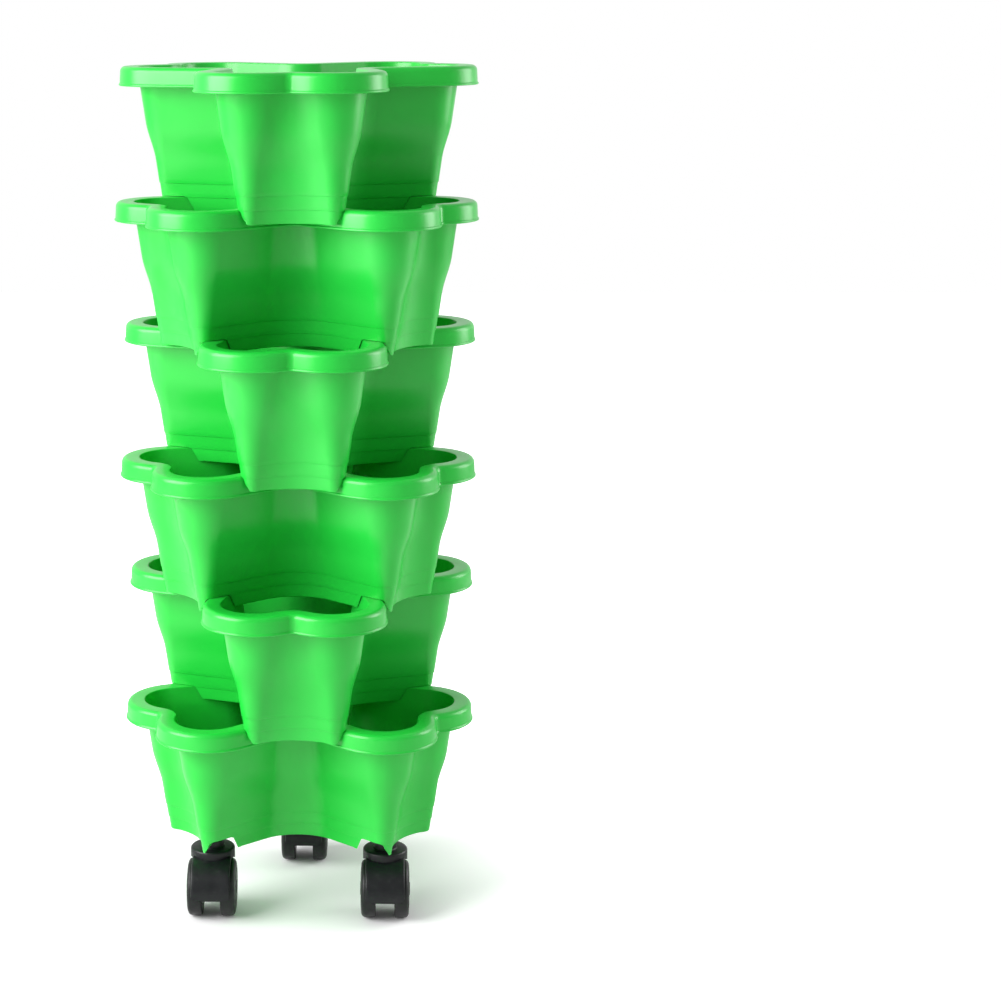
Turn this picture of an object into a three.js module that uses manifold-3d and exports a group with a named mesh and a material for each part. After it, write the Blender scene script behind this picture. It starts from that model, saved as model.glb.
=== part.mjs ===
// Vertical planter tower: six three-lobed pots stacked on three twin-wheel casters.
// Millimetres, +Z up. The origin is on the floor, on the tower's axis; -Y faces the viewer.
// Every pot is the same moulding, and each is turned half a lobe pitch from the one below.

import * as THREE from 'three';
import { mergeVertices } from 'three/addons/utils/BufferGeometryUtils.js';
import Module from 'manifold-3d';

const wasm = await Module();
wasm.setup();

// Tower
const tierCount = 6;
const lobeCount = 3;
const baseHeight = 76.2;
const seatGap = 0.3;
const overrun = 3;

// Outline of the rim's outer edge. A lobe ends in two bumps with a notch between them,
// and a valley lies between two lobes. Bumps, notch and valley are arcs.
const rimOutline = {
  reach: 116.2,
  spread: 35.3,
  bumpRadius: 51.6,
  notchRadius: 6.1,
  valleyReach: 101.2,
  valleyRadius: 12.9,
};

// Outline of the wall where it meets the ground
const footOutline = {
  reach: 115.4,
  spread: 34.4,
  bumpRadius: 12.4,
  notchRadius: 40,
  valleyReach: 64,
  valleyRadius: 18,
};

// Steps along each arc of half a lobe
const arcSteps = { notch: 1, bump: 4, valley: 2 };

// Pot
const potHeight = 134.7;
const potWall = 2.2;
const nestDepth = 13.3;
const nestClearance = 1.2;
const notchFlare = 2.2;
const notchFlareShoulderShare = 0.5;

// Rim: a rolled band with a hanging skirt
const skirtDrop = 18;
const skirtWall = 2.4;
const skirtLean = 1.6;
const shoulderDrop = 6;
const shoulderMidInset = 3.4;
const shoulderMidDrop = 2;
const crestFlat = 8;
const bandWidth = 18.5;
const bandThickness = 2.6;
const throatLapShare = 0.4;

// Wall below the skirt: it leans in steadily, and a waist takes the rest
const neckInset = 20;
const waistTop = 75;
const waistBottom = 56;
const waistShare = 0.2;
const waistLevelShares = [0, 0.5, 1];

// Caster socket and drain hole in each lobe's floor
const socketReach = 98;
const bossRadius = 7;
const socketRadius = 5.3;
const drainReach = 66.5;
const drainRadius = 3;
const drainTurn = THREE.MathUtils.degToRad(18);

// Caster
const wheelRadius = 28;
const wheelTrail = 13;
const wheelInnerFace = 9.2;
const wheelWidth = 15.6;
const wheelTreadWidth = 8.8;
const wheelEdge = 1.2;
const wheelShoulderInset = 1.4;
const wheelShoulderRun = 2.6;
const wheelDiscRadius = 22;
const wheelDomeRise = 0.9;
const axleRadius = 2.5;
const axleSpan = 41;
const hubRadius = 8;
const hubHalfWidth = 8.9;
const hoodWall = 2.3;
const hoodHalfWidth = 19.5;
const wheelClearance = 1.2;
const hoodSkirt = 2.5;
const collarRadius = 21.75;
const collarDrop = 10.2;
const collarTop = baseHeight - collarDrop;
const collarLap = 8.5;
const collarChamfer = 2;
const neckRadius = 11;
const stemRadius = 4.6;
const stemDepth = 28;
const flangeRadius = 9;
const flangeThickness = 2.4;
const stemTipClearance = 0.6;
const stemChamfer = 0.8;
const ringLevel = 4.5;
const ringHeight = 2;
const grooveRadius = 3.5;
const ringGap = 1.6;

const circleSteps = { wheel: 22, collar: 20, hood: 12, stem: 10, socket: 8, drain: 6, axle: 8, ring: 8 };

// Materials, one for each kind of plastic or metal
const finish = {
  pot: { color: 0x35d85a, roughness: 0.32, metalness: 0 },
  caster: { color: 0x15181a, roughness: 0.38, metalness: 0 },
  steel: { color: 0xa7abb0, roughness: 0.3, metalness: 1 },
};

const fullTurn = 2 * Math.PI;
const lobePitch = fullTurn / lobeCount;
const halfPitch = lobePitch / 2;
const lobeIndices = [...Array(lobeCount).keys()];
const tierPitch = potHeight - nestDepth;

// Points of half a lobe with their outward normals, from the lobe's axis to the valley's line
function halfLobe(outline) {
  const { reach, spread, bumpRadius, notchRadius, valleyReach, valleyRadius } = outline;
  const bump = new THREE.Vector2(reach, spread);
  const valley = new THREE.Vector2(valleyReach * Math.cos(halfPitch), valleyReach * Math.sin(halfPitch));
  const notchReach = reach + Math.sqrt((bumpRadius + notchRadius) ** 2 - spread ** 2);
  const notch = new THREE.Vector2(notchReach, 0);
  const notchEnd = bump.clone().sub(notch).angle();
  const across = valley.clone().sub(bump);
  const tangent = across.angle() - Math.acos((bumpRadius + valleyRadius) / across.length());
  const points = [];
  const arc = (centre, radius, from, to, steps, side, skipFirst) => {
    for (let i = skipFirst ? 1 : 0; i <= steps; i += 1) {
      const angle = THREE.MathUtils.lerp(from, to, i / steps);
      const normal = new THREE.Vector2(Math.cos(angle), Math.sin(angle));
      const point = centre.clone().addScaledVector(normal, radius);
      points.push({ point, normal: normal.multiplyScalar(side) });
    }
  };
  arc(notch, notchRadius, Math.PI, notchEnd, arcSteps.notch, -1, false);
  arc(bump, bumpRadius, notchEnd - Math.PI, tangent, arcSteps.bump, 1, true);
  arc(valley, valleyRadius, tangent + Math.PI, halfPitch + Math.PI, arcSteps.valley, -1, false);
  return points;
}

// The whole outline, drawn in by an inset, lobes at 0 degrees and on
function outlineRing(outline, inset) {
  const half = halfLobe(outline).map(({ point, normal }) => point.clone().addScaledVector(normal, -inset));
  const mirrored = half.slice(1, -1).reverse().map((p) => new THREE.Vector2(p.x, -p.y));
  const lobe = [...mirrored, ...half];
  return lobeIndices.flatMap((k) => lobe.map((p) => p.clone().rotateAround(new THREE.Vector2(), k * lobePitch)));
}

function blendRings(a, b, share) {
  return a.map((p, i) => p.clone().lerp(b[i], share));
}

function raise(ring, height) {
  return ring.map((p) => new THREE.Vector3(p.x, p.y, height));
}

// A solid from stacked rings of equal point count. A closed one joins its last ring to its first.
function loft(rings, closed) {
  const count = rings[0].length;
  const positions = rings.flat().flatMap((p) => p.toArray());
  const index = [];
  const spans = closed ? rings.length : rings.length - 1;
  for (let r = 0; r < spans; r += 1) {
    const low = r * count;
    const high = ((r + 1) % rings.length) * count;
    for (let i = 0; i < count; i += 1) {
      const next = (i + 1) % count;
      index.push(low + i, low + next, high + next, low + i, high + next, high + i);
    }
  }
  if (!closed) {
    const cap = (ring) => THREE.ShapeUtils.triangulateShape(ring.map((p) => new THREE.Vector2(p.x, p.y)), []);
    const top = (rings.length - 1) * count;
    cap(rings[0]).forEach(([a, b, c]) => index.push(c, b, a));
    cap(rings.at(-1)).forEach(([a, b, c]) => index.push(top + a, top + b, top + c));
  }
  const geometry = new THREE.BufferGeometry();
  geometry.setAttribute('position', new THREE.Float32BufferAttribute(positions, 3));
  geometry.setIndex(index);
  return geometry;
}

// A manifold solid from a closed geometry, and a geometry from a manifold solid
function toSolid(geometry) {
  const bare = geometry.clone();
  bare.deleteAttribute('normal');
  bare.deleteAttribute('uv');
  const merged = mergeVertices(bare);
  return new wasm.Manifold(new wasm.Mesh({
    numProp: 3,
    vertProperties: merged.attributes.position.array,
    triVerts: Uint32Array.from(merged.index.array),
  }));
}

function toGeometry(solid) {
  const mesh = solid.getMesh();
  const geometry = new THREE.BufferGeometry();
  geometry.setAttribute('position', new THREE.BufferAttribute(mesh.vertProperties, 3));
  geometry.setIndex(new THREE.BufferAttribute(mesh.triVerts, 1));
  geometry.computeVertexNormals();
  return geometry;
}

// A turned solid about +Z from [radius, height] points that start and end on the axis
function turned(points, steps) {
  return new THREE.LatheGeometry(points.map(([r, z]) => new THREE.Vector2(r, z)), steps).rotateX(Math.PI / 2);
}

function post(radius, bottom, top, steps) {
  return turned([[0, bottom], [radius, bottom], [radius, top], [0, top]], steps);
}

// A post to cut a hole with: its flats, not its corners, lie on the radius
function borer(radius, bottom, top, steps) {
  return post(radius / Math.cos(Math.PI / steps), bottom, top, steps);
}

// Wall outline at a height, drawn in by an inset
function wallRing(height, inset) {
  const depthShare = 1 - height / (potHeight - skirtDrop);
  const waist = THREE.MathUtils.smoothstep(waistTop + waistBottom - height, waistBottom, waistTop);
  const share = THREE.MathUtils.lerp(depthShare, waist, waistShare);
  const neck = outlineRing(rimOutline, neckInset + inset);
  const foot = outlineRing(footOutline, inset);
  return raise(blendRings(neck, foot, share), height);
}

// Outer face of the skirt at a drop below the crest
function skirtFace(drop) {
  return skirtLean * (skirtDrop - drop) / (skirtDrop - shoulderDrop);
}

// Inner face of the throat, from the rim's inner edge down to the wall, at a drop below the crest
function throatFace(drop) {
  return THREE.MathUtils.lerp(bandWidth, neckInset + potWall, drop / skirtDrop);
}

// Floor, wall, rolled rim and skirt in one skin: up the outside, over the rim and down inside
function potShell() {
  const waistLevels = waistLevelShares.map((share) => THREE.MathUtils.lerp(waistBottom, waistTop, share));
  const rimRing = (inset, drop) => raise(outlineRing(rimOutline, inset), potHeight - drop);
  const skirtInner = skirtFace(skirtDrop) + skirtWall;
  return loft([
    wallRing(0, 0),
    ...waistLevels.map((level) => wallRing(level, 0)),
    wallRing(potHeight - skirtDrop, 0),
    rimRing(bandWidth - potWall * throatLapShare, shoulderMidDrop + bandThickness),
    rimRing(skirtInner + skirtLean, shoulderDrop),
    rimRing(skirtInner, skirtDrop),
    rimRing(0, skirtDrop),
    rimRing(skirtLean, shoulderDrop),
    rimRing(shoulderMidInset, shoulderMidDrop),
    rimRing(bandWidth - crestFlat, 0),
    rimRing(bandWidth, 0),
    wallRing(potHeight - skirtDrop, potWall),
    wallRing(waistTop, potWall),
    wallRing(waistBottom, potWall),
    wallRing(potWall, potWall),
  ], false);
}

// The pot below, as this pot's foot meets it: a solid swept round that pot's rim
function belowSweep(profile) {
  const rings = profile.map(([inset, height]) => raise(outlineRing(rimOutline, inset), height));
  return toSolid(loft(rings, true).rotateZ(halfPitch));
}

// Room for the rim of the pot below, with the ceiling that rests on that rim's crest
function channelRoom() {
  const level = (drop) => nestDepth - seatGap - drop;
  const outer = skirtFace(nestDepth) - nestClearance - notchFlare;
  const shoulder = skirtLean - nestClearance - notchFlare * notchFlareShoulderShare;
  return belowSweep([
    [outer, -overrun],
    [outer, 0],
    [shoulder, level(shoulderDrop)],
    [shoulderMidInset, nestDepth],
    [throatFace(0) + nestClearance, nestDepth],
    [throatFace(nestDepth + overrun) + nestClearance, -overrun],
  ]);
}

// Roof over the channel, one wall thicker than the room on every side
function channelRoof() {
  const outer = skirtFace(nestDepth) - nestClearance - notchFlare - potWall;
  const top = nestDepth + potWall;
  return belowSweep([
    [outer, 0],
    [skirtLean - nestClearance, top],
    [throatFace(0) + nestClearance + potWall, top],
    [throatFace(nestDepth) + nestClearance + potWall, 0],
  ]);
}

// The pot: shell, channel roofs and caster sockets, with what is cut from them
function potGeometry() {
  const midWall = potWall / 2;
  const roofTop = nestDepth + potWall;
  const core = toSolid(loft([wallRing(0, midWall), wallRing(roofTop + potWall, midWall)], false));
  let pot = toSolid(potShell()).add(channelRoof().intersect(core));
  const placed = (geometry, reach, angle) => toSolid(geometry.translate(reach, 0, 0).rotateZ(angle));
  for (const k of lobeIndices) {
    pot = pot.add(placed(post(bossRadius, 0, roofTop, circleSteps.socket), socketReach, k * lobePitch));
  }
  pot = pot.subtract(channelRoom());
  for (const k of lobeIndices) {
    const socket = borer(socketRadius, -overrun, nestDepth, circleSteps.socket);
    const drain = borer(drainRadius, -overrun, potWall + overrun, circleSteps.drain);
    pot = pot.subtract(placed(socket, socketReach, k * lobePitch));
    pot = pot.subtract(placed(drain, drainReach, k * lobePitch + drainTurn));
  }
  return toGeometry(pot);
}

// Stem: a turned pin with the flange that carries the pot and the grip ring's groove
function stemGeometry() {
  const tip = baseHeight + nestDepth - stemTipClearance;
  const flangeTop = baseHeight - seatGap;
  const grooveLow = baseHeight + ringLevel - seatGap;
  const grooveHigh = baseHeight + ringLevel + ringHeight + seatGap;
  return turned([
    [0, flangeTop - flangeThickness - stemDepth],
    [stemRadius, flangeTop - flangeThickness - stemDepth],
    [stemRadius, flangeTop - flangeThickness],
    [flangeRadius, flangeTop - flangeThickness],
    [flangeRadius, flangeTop],
    [stemRadius, flangeTop],
    [stemRadius, grooveLow],
    [grooveRadius, grooveLow],
    [grooveRadius, grooveHigh],
    [stemRadius, grooveHigh],
    [stemRadius, tip - stemChamfer],
    [stemRadius - stemChamfer, tip],
    [0, tip],
  ], circleSteps.stem);
}

// Grip ring: a split spring ring that sits in the groove and holds the stem in its socket
function gripRingGeometry() {
  const inner = grooveRadius + seatGap;
  const outer = socketRadius - seatGap;
  const start = Math.asin(ringGap / 2 / outer);
  const shape = new THREE.Shape();
  shape.absarc(0, 0, outer, start, fullTurn - start, false);
  shape.absarc(0, 0, inner, fullTurn - start, start, true);
  const body = new THREE.ExtrudeGeometry(shape, {
    depth: ringHeight,
    bevelEnabled: false,
    curveSegments: circleSteps.ring,
  });
  return body.translate(0, 0, baseHeight + ringLevel);
}

// Turns a piece made along +Z to lie along the caster's axle
function onAxle(geometry) {
  return geometry.rotateX(-Math.PI / 2).translate(wheelTrail, 0, wheelRadius);
}

// Hood: fender over both wheels, web and hub between them, swivel collar and neck
function hoodGeometry() {
  const wellRadius = wheelRadius + wheelClearance;
  const fenderRadius = wellRadius + hoodWall;
  const dip = Math.asin(hoodSkirt / fenderRadius);
  const side = new THREE.Shape();
  side.absarc(0, 0, fenderRadius, -dip, Math.PI + dip, false);
  const fender = new THREE.ExtrudeGeometry(side, {
    depth: 2 * hoodHalfWidth,
    bevelEnabled: false,
    curveSegments: circleSteps.hood,
  });
  fender.translate(0, 0, -hoodHalfWidth).rotateX(Math.PI / 2).translate(wheelTrail, 0, wheelRadius);
  const collarBottom = wheelRadius + fenderRadius - collarLap;
  const neckTop = baseHeight - 2 * seatGap - flangeThickness;
  const column = turned([
    [0, collarBottom],
    [collarRadius, collarBottom],
    [collarRadius, collarTop - collarChamfer],
    [collarRadius - collarChamfer, collarTop],
    [neckRadius, collarTop],
    [neckRadius, neckTop],
    [0, neckTop],
  ], circleSteps.collar);
  const wellEnd = collarRadius + overrun;
  const rightWell = onAxle(borer(wellRadius, hubHalfWidth, wellEnd, circleSteps.wheel));
  const leftWell = onAxle(borer(wellRadius, -wellEnd, -hubHalfWidth, circleSteps.wheel));
  const hub = onAxle(post(hubRadius, -hubHalfWidth, hubHalfWidth, circleSteps.axle));
  const axleBore = onAxle(borer(axleRadius + seatGap, -wellEnd, wellEnd, circleSteps.axle));
  const bore = borer(
    stemRadius + seatGap,
    neckTop - stemDepth - seatGap,
    neckTop + overrun,
    circleSteps.stem,
  );
  const solid = toSolid(fender)
    .add(toSolid(column))
    .add(toSolid(hub))
    .subtract(toSolid(rightWell))
    .subtract(toSolid(leftWell))
    .subtract(toSolid(bore))
    .subtract(toSolid(axleBore));
  return toGeometry(solid);
}

function axleGeometry() {
  return onAxle(post(axleRadius, -axleSpan / 2, axleSpan / 2, circleSteps.axle));
}

// Wheel: flat inner face with a blind bore, straight tread, rounded shoulder and domed cover.
// A flat of its tread, not a corner, rests on the floor.
function wheelGeometry(side) {
  const radius = wheelRadius / Math.cos(Math.PI / circleSteps.wheel);
  const inner = wheelInnerFace;
  const outer = wheelInnerFace + wheelWidth - wheelDomeRise;
  const treadEnd = inner + wheelEdge + wheelTreadWidth;
  const bore = axleRadius + seatGap;
  const boreEnd = axleSpan / 2 + seatGap;
  const profile = [
    [0, boreEnd],
    [bore, boreEnd],
    [bore, inner],
    [radius - wheelEdge, inner],
    [radius, inner + wheelEdge],
    [radius, treadEnd],
    [radius - wheelShoulderInset, treadEnd + wheelShoulderRun],
    [wheelDiscRadius, outer],
    [0, inner + wheelWidth],
  ];
  const wheel = turned(profile, circleSteps.wheel).rotateZ(Math.PI / circleSteps.wheel);
  if (side < 0) wheel.rotateX(Math.PI);
  return onAxle(wheel);
}

function material({ color, roughness, metalness }) {
  return new THREE.MeshStandardMaterial({ color, roughness, metalness });
}

function piece(name, geometry, kind) {
  const mesh = new THREE.Mesh(geometry, material(finish[kind]));
  mesh.name = name;
  return mesh;
}

const tower = new THREE.Group();

// Pots: one lobe of the lowest points straight back, and each next pot turns half a pitch
const firstLobe = Math.PI / 2;
for (let tier = 0; tier < tierCount; tier += 1) {
  const pot = piece(`pot_tier_${tier + 1}`, potGeometry(), 'pot');
  pot.position.z = baseHeight + tier * tierPitch;
  pot.rotation.z = firstLobe + tier * halfPitch;
  tower.add(pot);
}

// Casters: under the sockets of the lowest pot, all trailing towards the viewer
const trailing = -Math.PI / 2;
for (const k of lobeIndices) {
  const name = `caster_${k + 1}`;
  const angle = firstLobe + (k + 1) * lobePitch;
  const caster = new THREE.Group();
  caster.position.set(socketReach * Math.cos(angle), socketReach * Math.sin(angle), 0);
  caster.rotation.z = trailing;
  caster.add(
    piece(`${name}_stem`, stemGeometry(), 'steel'),
    piece(`${name}_grip_ring`, gripRingGeometry(), 'steel'),
    piece(`${name}_hood`, hoodGeometry(), 'caster'),
    piece(`${name}_axle`, axleGeometry(), 'steel'),
    piece(`${name}_wheel_left`, wheelGeometry(-1), 'caster'),
    piece(`${name}_wheel_right`, wheelGeometry(1), 'caster'),
  );
  tower.add(caster);
}

export default tower;
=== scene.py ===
# Looks of the vertical planter tower: six green lobed pots on three black twin-wheel casters.
# Shapes are worked out in millimetres and written in metres.

import math

import bmesh
import bpy
import numpy as np
from mathutils import Matrix, Vector


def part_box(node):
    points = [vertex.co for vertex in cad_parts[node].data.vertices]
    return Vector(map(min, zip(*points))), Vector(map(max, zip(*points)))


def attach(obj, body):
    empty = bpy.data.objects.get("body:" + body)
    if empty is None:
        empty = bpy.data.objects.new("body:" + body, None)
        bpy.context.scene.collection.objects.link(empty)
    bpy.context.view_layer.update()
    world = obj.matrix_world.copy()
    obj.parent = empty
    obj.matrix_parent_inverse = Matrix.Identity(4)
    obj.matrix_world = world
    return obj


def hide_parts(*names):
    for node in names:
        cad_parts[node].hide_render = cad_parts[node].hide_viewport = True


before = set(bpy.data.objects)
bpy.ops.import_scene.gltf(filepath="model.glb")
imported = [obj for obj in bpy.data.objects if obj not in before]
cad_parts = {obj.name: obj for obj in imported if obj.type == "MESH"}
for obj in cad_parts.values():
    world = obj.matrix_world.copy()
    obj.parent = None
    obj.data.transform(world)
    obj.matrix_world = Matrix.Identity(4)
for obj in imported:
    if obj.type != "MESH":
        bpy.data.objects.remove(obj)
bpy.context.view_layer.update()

MM = 0.001
WELD_DISTANCE = MM / 1000

# Camera: the photograph's frame and the place it was taken from
PHOTO_SIDE = 1001
FOCAL_PIXELS = 2221.8
FRAME_MIDDLE_PIXEL = 299.2
SENSOR_WIDTH = 36.0
CAMERA_PLACE = (94.3, -2101.0, 888.7)
CAMERA_HEADING = math.radians(-2.571)
CAMERA_PITCH = math.radians(12.989)
CAMERA_ROLL = math.radians(-0.323)
CAMERA_CLIP = (0.05, 50)

# Tower
TIER_COUNT = 6
LOBE_COUNT = 3
CASTER_COUNT = 3
FULL_TURN = 2 * math.pi
LOBE_PITCH = FULL_TURN / LOBE_COUNT
HALF_PITCH = LOBE_PITCH / 2
FIRST_LOBE = math.pi / 2
BASE_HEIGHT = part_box("pot_tier_1")[0][2] / MM

# Outline of the rim's outer edge and of the wall at the ground
RIM_OUTLINE = {
    "reach": 116.2,
    "spread": 35.3,
    "bump_radius": 51.6,
    "notch_radius": 6.1,
    "valley_reach": 101.2,
    "valley_radius": 12.9,
}
FOOT_OUTLINE = {
    "reach": 117.0,
    "spread": 37.4,
    "bump_radius": 9.4,
    "notch_radius": 58.0,
    "valley_reach": 92.0,
    "valley_radius": 46.0,
}
ARC_STEPS = {"notch": 6, "bump": 16, "valley": 10}

# Steps along rounded edges, circles and the stretches between them
CIRCLE_STEPS = 48
WHEEL_STEPS = 2 * CIRCLE_STEPS
ROUND_STEPS = 6
HEM_STEPS = 3
EDGE_STEPS = 4
TOOTH_STEPS = 5
SHOULDER_STEPS = 8
STEP_BAND_LEVELS = 3
STEP_ARC_POINTS = 4
THROAT_STEPS = 5
DISC_STEPS = 12
COVER_STEPS = 5

# Pot
POT_HEIGHT = 134.7
POT_WALL = 2.2
NEST_DEPTH = 13.3
SEAT_GAP = 0.3
NEST_CLEARANCE = 1.2
NOTCH_FLARE = 3.0
NOTCH_FLARE_SHOULDER_SHARE = 0.15
TOOTH_ROUND = 2.6
TOOTH_START_DEGREES = -75
ROOF_END_DEGREES = 15
OVERRUN = 3.0
STEP_LEVELS = (12.6, 25.6)
STEP_DEPTH = 0.55
STEP_ROUND = 0.3
FOOT_INSET = 1.1
FOOT_ROUND = 0.9
FLOOR_FILLET = 5.0
WALL_LEVEL_GAP = 4.0

# Rim of the pot
SKIRT_DROP = 18.0
SKIRT_WALL = 2.4
SKIRT_LEAN = 1.6
SKIRT_LIP = 1.0
BEAD_HEIGHT = 1.8
BEAD_DEPTH = 0.8
SHOULDER_RADIUS = 5.0
SHOULDER_INNER_RADIUS = 2.6
CREST_SAG = 0.3
BAND_WIDTH = 18.5
BAND_THICKNESS = 2.6
MOUTH_ROUND = 1.1
THROAT_FILLET = 2.0
THROAT_LAP = 0.9

# Wall
NECK_INSET = 20.0
WAIST_TOP = 83.0
WAIST_BOTTOM = 48.0
WAIST_SHARE = 0.2

# Floor of the pot
SOCKET_REACH = 98.0
BOSS_RADIUS = 7.0
BOSS_FOOT = 1.0
BOSS_ROUND = 1.0
SOCKET_RADIUS = 5.3
DRAIN_REACH = 66.5
DRAIN_RADIUS = 3.0
DRAIN_TURN = math.radians(18)
ROOF_ROUND = 2.0

# Caster
WHEEL_RADIUS = 28.0
WHEEL_TRAIL = 13.0
WHEEL_INNER_FACE = 9.2
WHEEL_WIDTH = 15.2
WHEEL_TREAD_END = 10.2
WHEEL_EDGE = 1.2
DISC_RADIUS = 21.5
DISC_RISE = 1.0
DISC_FULLNESS = 0.8
DISC_GROOVE_RADIUS = 18.0
DISC_GROOVE_WIDTH = 1.0
DISC_GROOVE_DEPTH = 0.7
DISC_GROOVE_FLOOR_SHARE = 0.6
CAP_RADIUS = 6.5
CAP_RISE = 0.5
AXLE_RADIUS = 2.5
AXLE_SPAN = 41.0
AXLE_CHAMFER = 0.5
HUB_RADIUS = 8.0
HUB_HALF_WIDTH = 8.9
HOOD_WALL = 2.3
HOOD_HALF_WIDTH = 19.0
HOOD_EDGE = 1.4
HOOD_CORNER = 8.0
HOOD_CORNER_LIFT = 5.0
HOOD_SLICES = 14
WHEEL_CLEARANCE = 1.2
HOOD_SKIRT = 3.0
COLLAR_RADIUS = 21.75
COLLAR_TOP = 66.0
COLLAR_HEIGHT = 13.5
COLLAR_ROUND = 2.2
COLLAR_LIP = 0.8
COLLAR_LIP_START_DEGREES = -60
COLLAR_SHELF = 16.5
NECK_RADIUS = 11.0
NECK_FILLET = 1.0
NECK_ROUND = 1.0
STEM_RADIUS = 4.6
STEM_DEPTH = 28.0
FLANGE_RADIUS = 9.0
FLANGE_THICKNESS = 2.4
STEM_TIP_CLEARANCE = 0.6
STEM_CHAMFER = 0.8
RING_LEVEL = 4.5
RING_HEIGHT = 2.0
GROOVE_RADIUS = 3.5
RING_GAP = 1.6
RING_EDGE_SHARE = 0.2

SHARP_ANGLE = math.radians(32)


def smoothstep(low, high, value):
    share = min(max((value - low) / (high - low), 0), 1)
    return share * share * (3 - 2 * share)


def lerp(a, b, share):
    return a + (b - a) * share


def arc_points(centre, radius, start, end, steps):
    """Points of an arc in a plane, and their directions from its centre."""
    angles = np.linspace(start, end, steps + 1)
    directions = np.stack([np.cos(angles), np.sin(angles)], 1)
    return np.asarray(centre) + radius * directions, directions


# Outlines


def half_lobe(outline):
    """Half a lobe's points and outward normals, from the lobe's axis to the valley's line."""
    reach, spread = outline["reach"], outline["spread"]
    bump_radius, notch_radius = outline["bump_radius"], outline["notch_radius"]
    valley_radius = outline["valley_radius"]
    bump = np.array([reach, spread])
    valley = outline["valley_reach"] * np.array([math.cos(HALF_PITCH), math.sin(HALF_PITCH)])
    notch_reach = reach + math.sqrt((bump_radius + notch_radius) ** 2 - spread**2)
    notch = np.array([notch_reach, 0])
    notch_end = math.atan2(*(bump - notch)[::-1])
    across = valley - bump
    tilt = math.acos((bump_radius + valley_radius) / np.linalg.norm(across))
    tangent = math.atan2(across[1], across[0]) - tilt
    if tangent < notch_end - math.pi:
        tangent += FULL_TURN
    notch_arc, notch_out = arc_points(notch, notch_radius, math.pi, notch_end, ARC_STEPS["notch"])
    bump_arc, bump_out = arc_points(bump, bump_radius, notch_end - math.pi, tangent, ARC_STEPS["bump"])
    valley_arc, valley_out = arc_points(
        valley, valley_radius, tangent + math.pi, HALF_PITCH + math.pi, ARC_STEPS["valley"]
    )
    points = np.vstack([notch_arc, bump_arc[1:], valley_arc])
    normals = np.vstack([-notch_out, bump_out[1:], -valley_out])
    return points, normals


HALVES = {id(outline): half_lobe(outline) for outline in (RIM_OUTLINE, FOOT_OUTLINE)}


def outline_ring(outline, inset):
    """The whole outline, drawn in by an inset, lobes at 0 degrees and on."""
    points, normals = HALVES[id(outline)]
    half = points - inset * normals
    mirrored = half[1:-1][::-1] * [1, -1]
    lobe = np.vstack([mirrored, half])
    turns = [k * LOBE_PITCH for k in range(LOBE_COUNT)]
    return np.vstack([lobe @ np.array(Matrix.Rotation(-turn, 2)) for turn in turns])


def raised(ring, height):
    return np.column_stack([ring, np.full(len(ring), height)])


def rim_ring(inset, drop):
    return raised(outline_ring(RIM_OUTLINE, inset), POT_HEIGHT - drop)


def wall_ring(height, inset):
    depth_share = 1 - height / (POT_HEIGHT - SKIRT_DROP)
    waist = smoothstep(WAIST_BOTTOM, WAIST_TOP, WAIST_TOP + WAIST_BOTTOM - height)
    share = lerp(depth_share, waist, WAIST_SHARE)
    neck = outline_ring(RIM_OUTLINE, NECK_INSET + inset)
    foot = outline_ring(FOOT_OUTLINE, inset)
    return raised(lerp(neck, foot, share), height)


# Meshes


def new_object(name, points, faces):
    mesh = bpy.data.meshes.new(name)
    mesh.from_pydata((np.asarray(points) * MM).tolist(), [], faces)
    mesh.validate()
    made = bpy.data.objects.new(name, mesh)
    bpy.context.scene.collection.objects.link(made)
    return made


def loft(name, rings, closed):
    """A solid from stacked rings of equal point count. A closed one joins its last ring to its first."""
    count = len(rings[0])
    faces = []
    for r in range(len(rings) if closed else len(rings) - 1):
        low, high = r * count, (r + 1) % len(rings) * count
        for i in range(count):
            n = (i + 1) % count
            faces.append((low + i, low + n, high + n, high + i))
    if not closed:
        top = (len(rings) - 1) * count
        faces.append(tuple(reversed(range(count))))
        faces.append(tuple(range(top, top + count)))
    return new_object(name, np.vstack(rings), faces)


def turned(name, profile, steps=CIRCLE_STEPS):
    """A solid turned about +Z from (radius, height) points, the first and last of them on the axis."""
    angles = np.linspace(0, FULL_TURN, steps, endpoint=False)
    circle = np.stack([np.cos(angles), np.sin(angles)], 1)
    rings = [raised(circle * radius, height) for radius, height in profile[1:-1]]
    points = np.vstack(rings + [[[0, 0, profile[0][1]], [0, 0, profile[-1][1]]]])
    bottom, top = len(points) - 2, len(points) - 1
    last = (len(rings) - 1) * steps
    faces = []
    for i in range(steps):
        n = (i + 1) % steps
        faces.append((bottom, n, i))
        faces.append((top, last + i, last + n))
        for r in range(len(rings) - 1):
            low, high = r * steps, (r + 1) * steps
            faces.append((low + i, low + n, high + n, high + i))
    return new_object(name, points, faces)


def place(made, matrix):
    """Moves an object's mesh and leaves the object at the origin."""
    made.data.transform(matrix)
    return made


def shift(x, y, z):
    return Matrix.Translation(Vector((x, y, z)) * MM)


def turn(angle, axis="Z"):
    return Matrix.Rotation(angle, 4, axis)


def combine(target, tool, operation):
    """Joins or cuts a solid with another one, which is used up."""
    modifier = target.modifiers.new(operation.lower(), "BOOLEAN")
    modifier.operation = operation
    modifier.solver = "MANIFOLD"
    modifier.object = tool
    shapes = bpy.context.evaluated_depsgraph_get()
    result = bpy.data.meshes.new_from_object(target.evaluated_get(shapes))
    target.modifiers.clear()
    old = target.data
    target.data = result
    result.name = target.name
    bpy.data.meshes.remove(old)
    bpy.data.objects.remove(tool)
    return target


def smooth(made):
    made.data.shade_smooth()
    made.data.set_sharp_from_angle(angle=SHARP_ANGLE)
    return made


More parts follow.
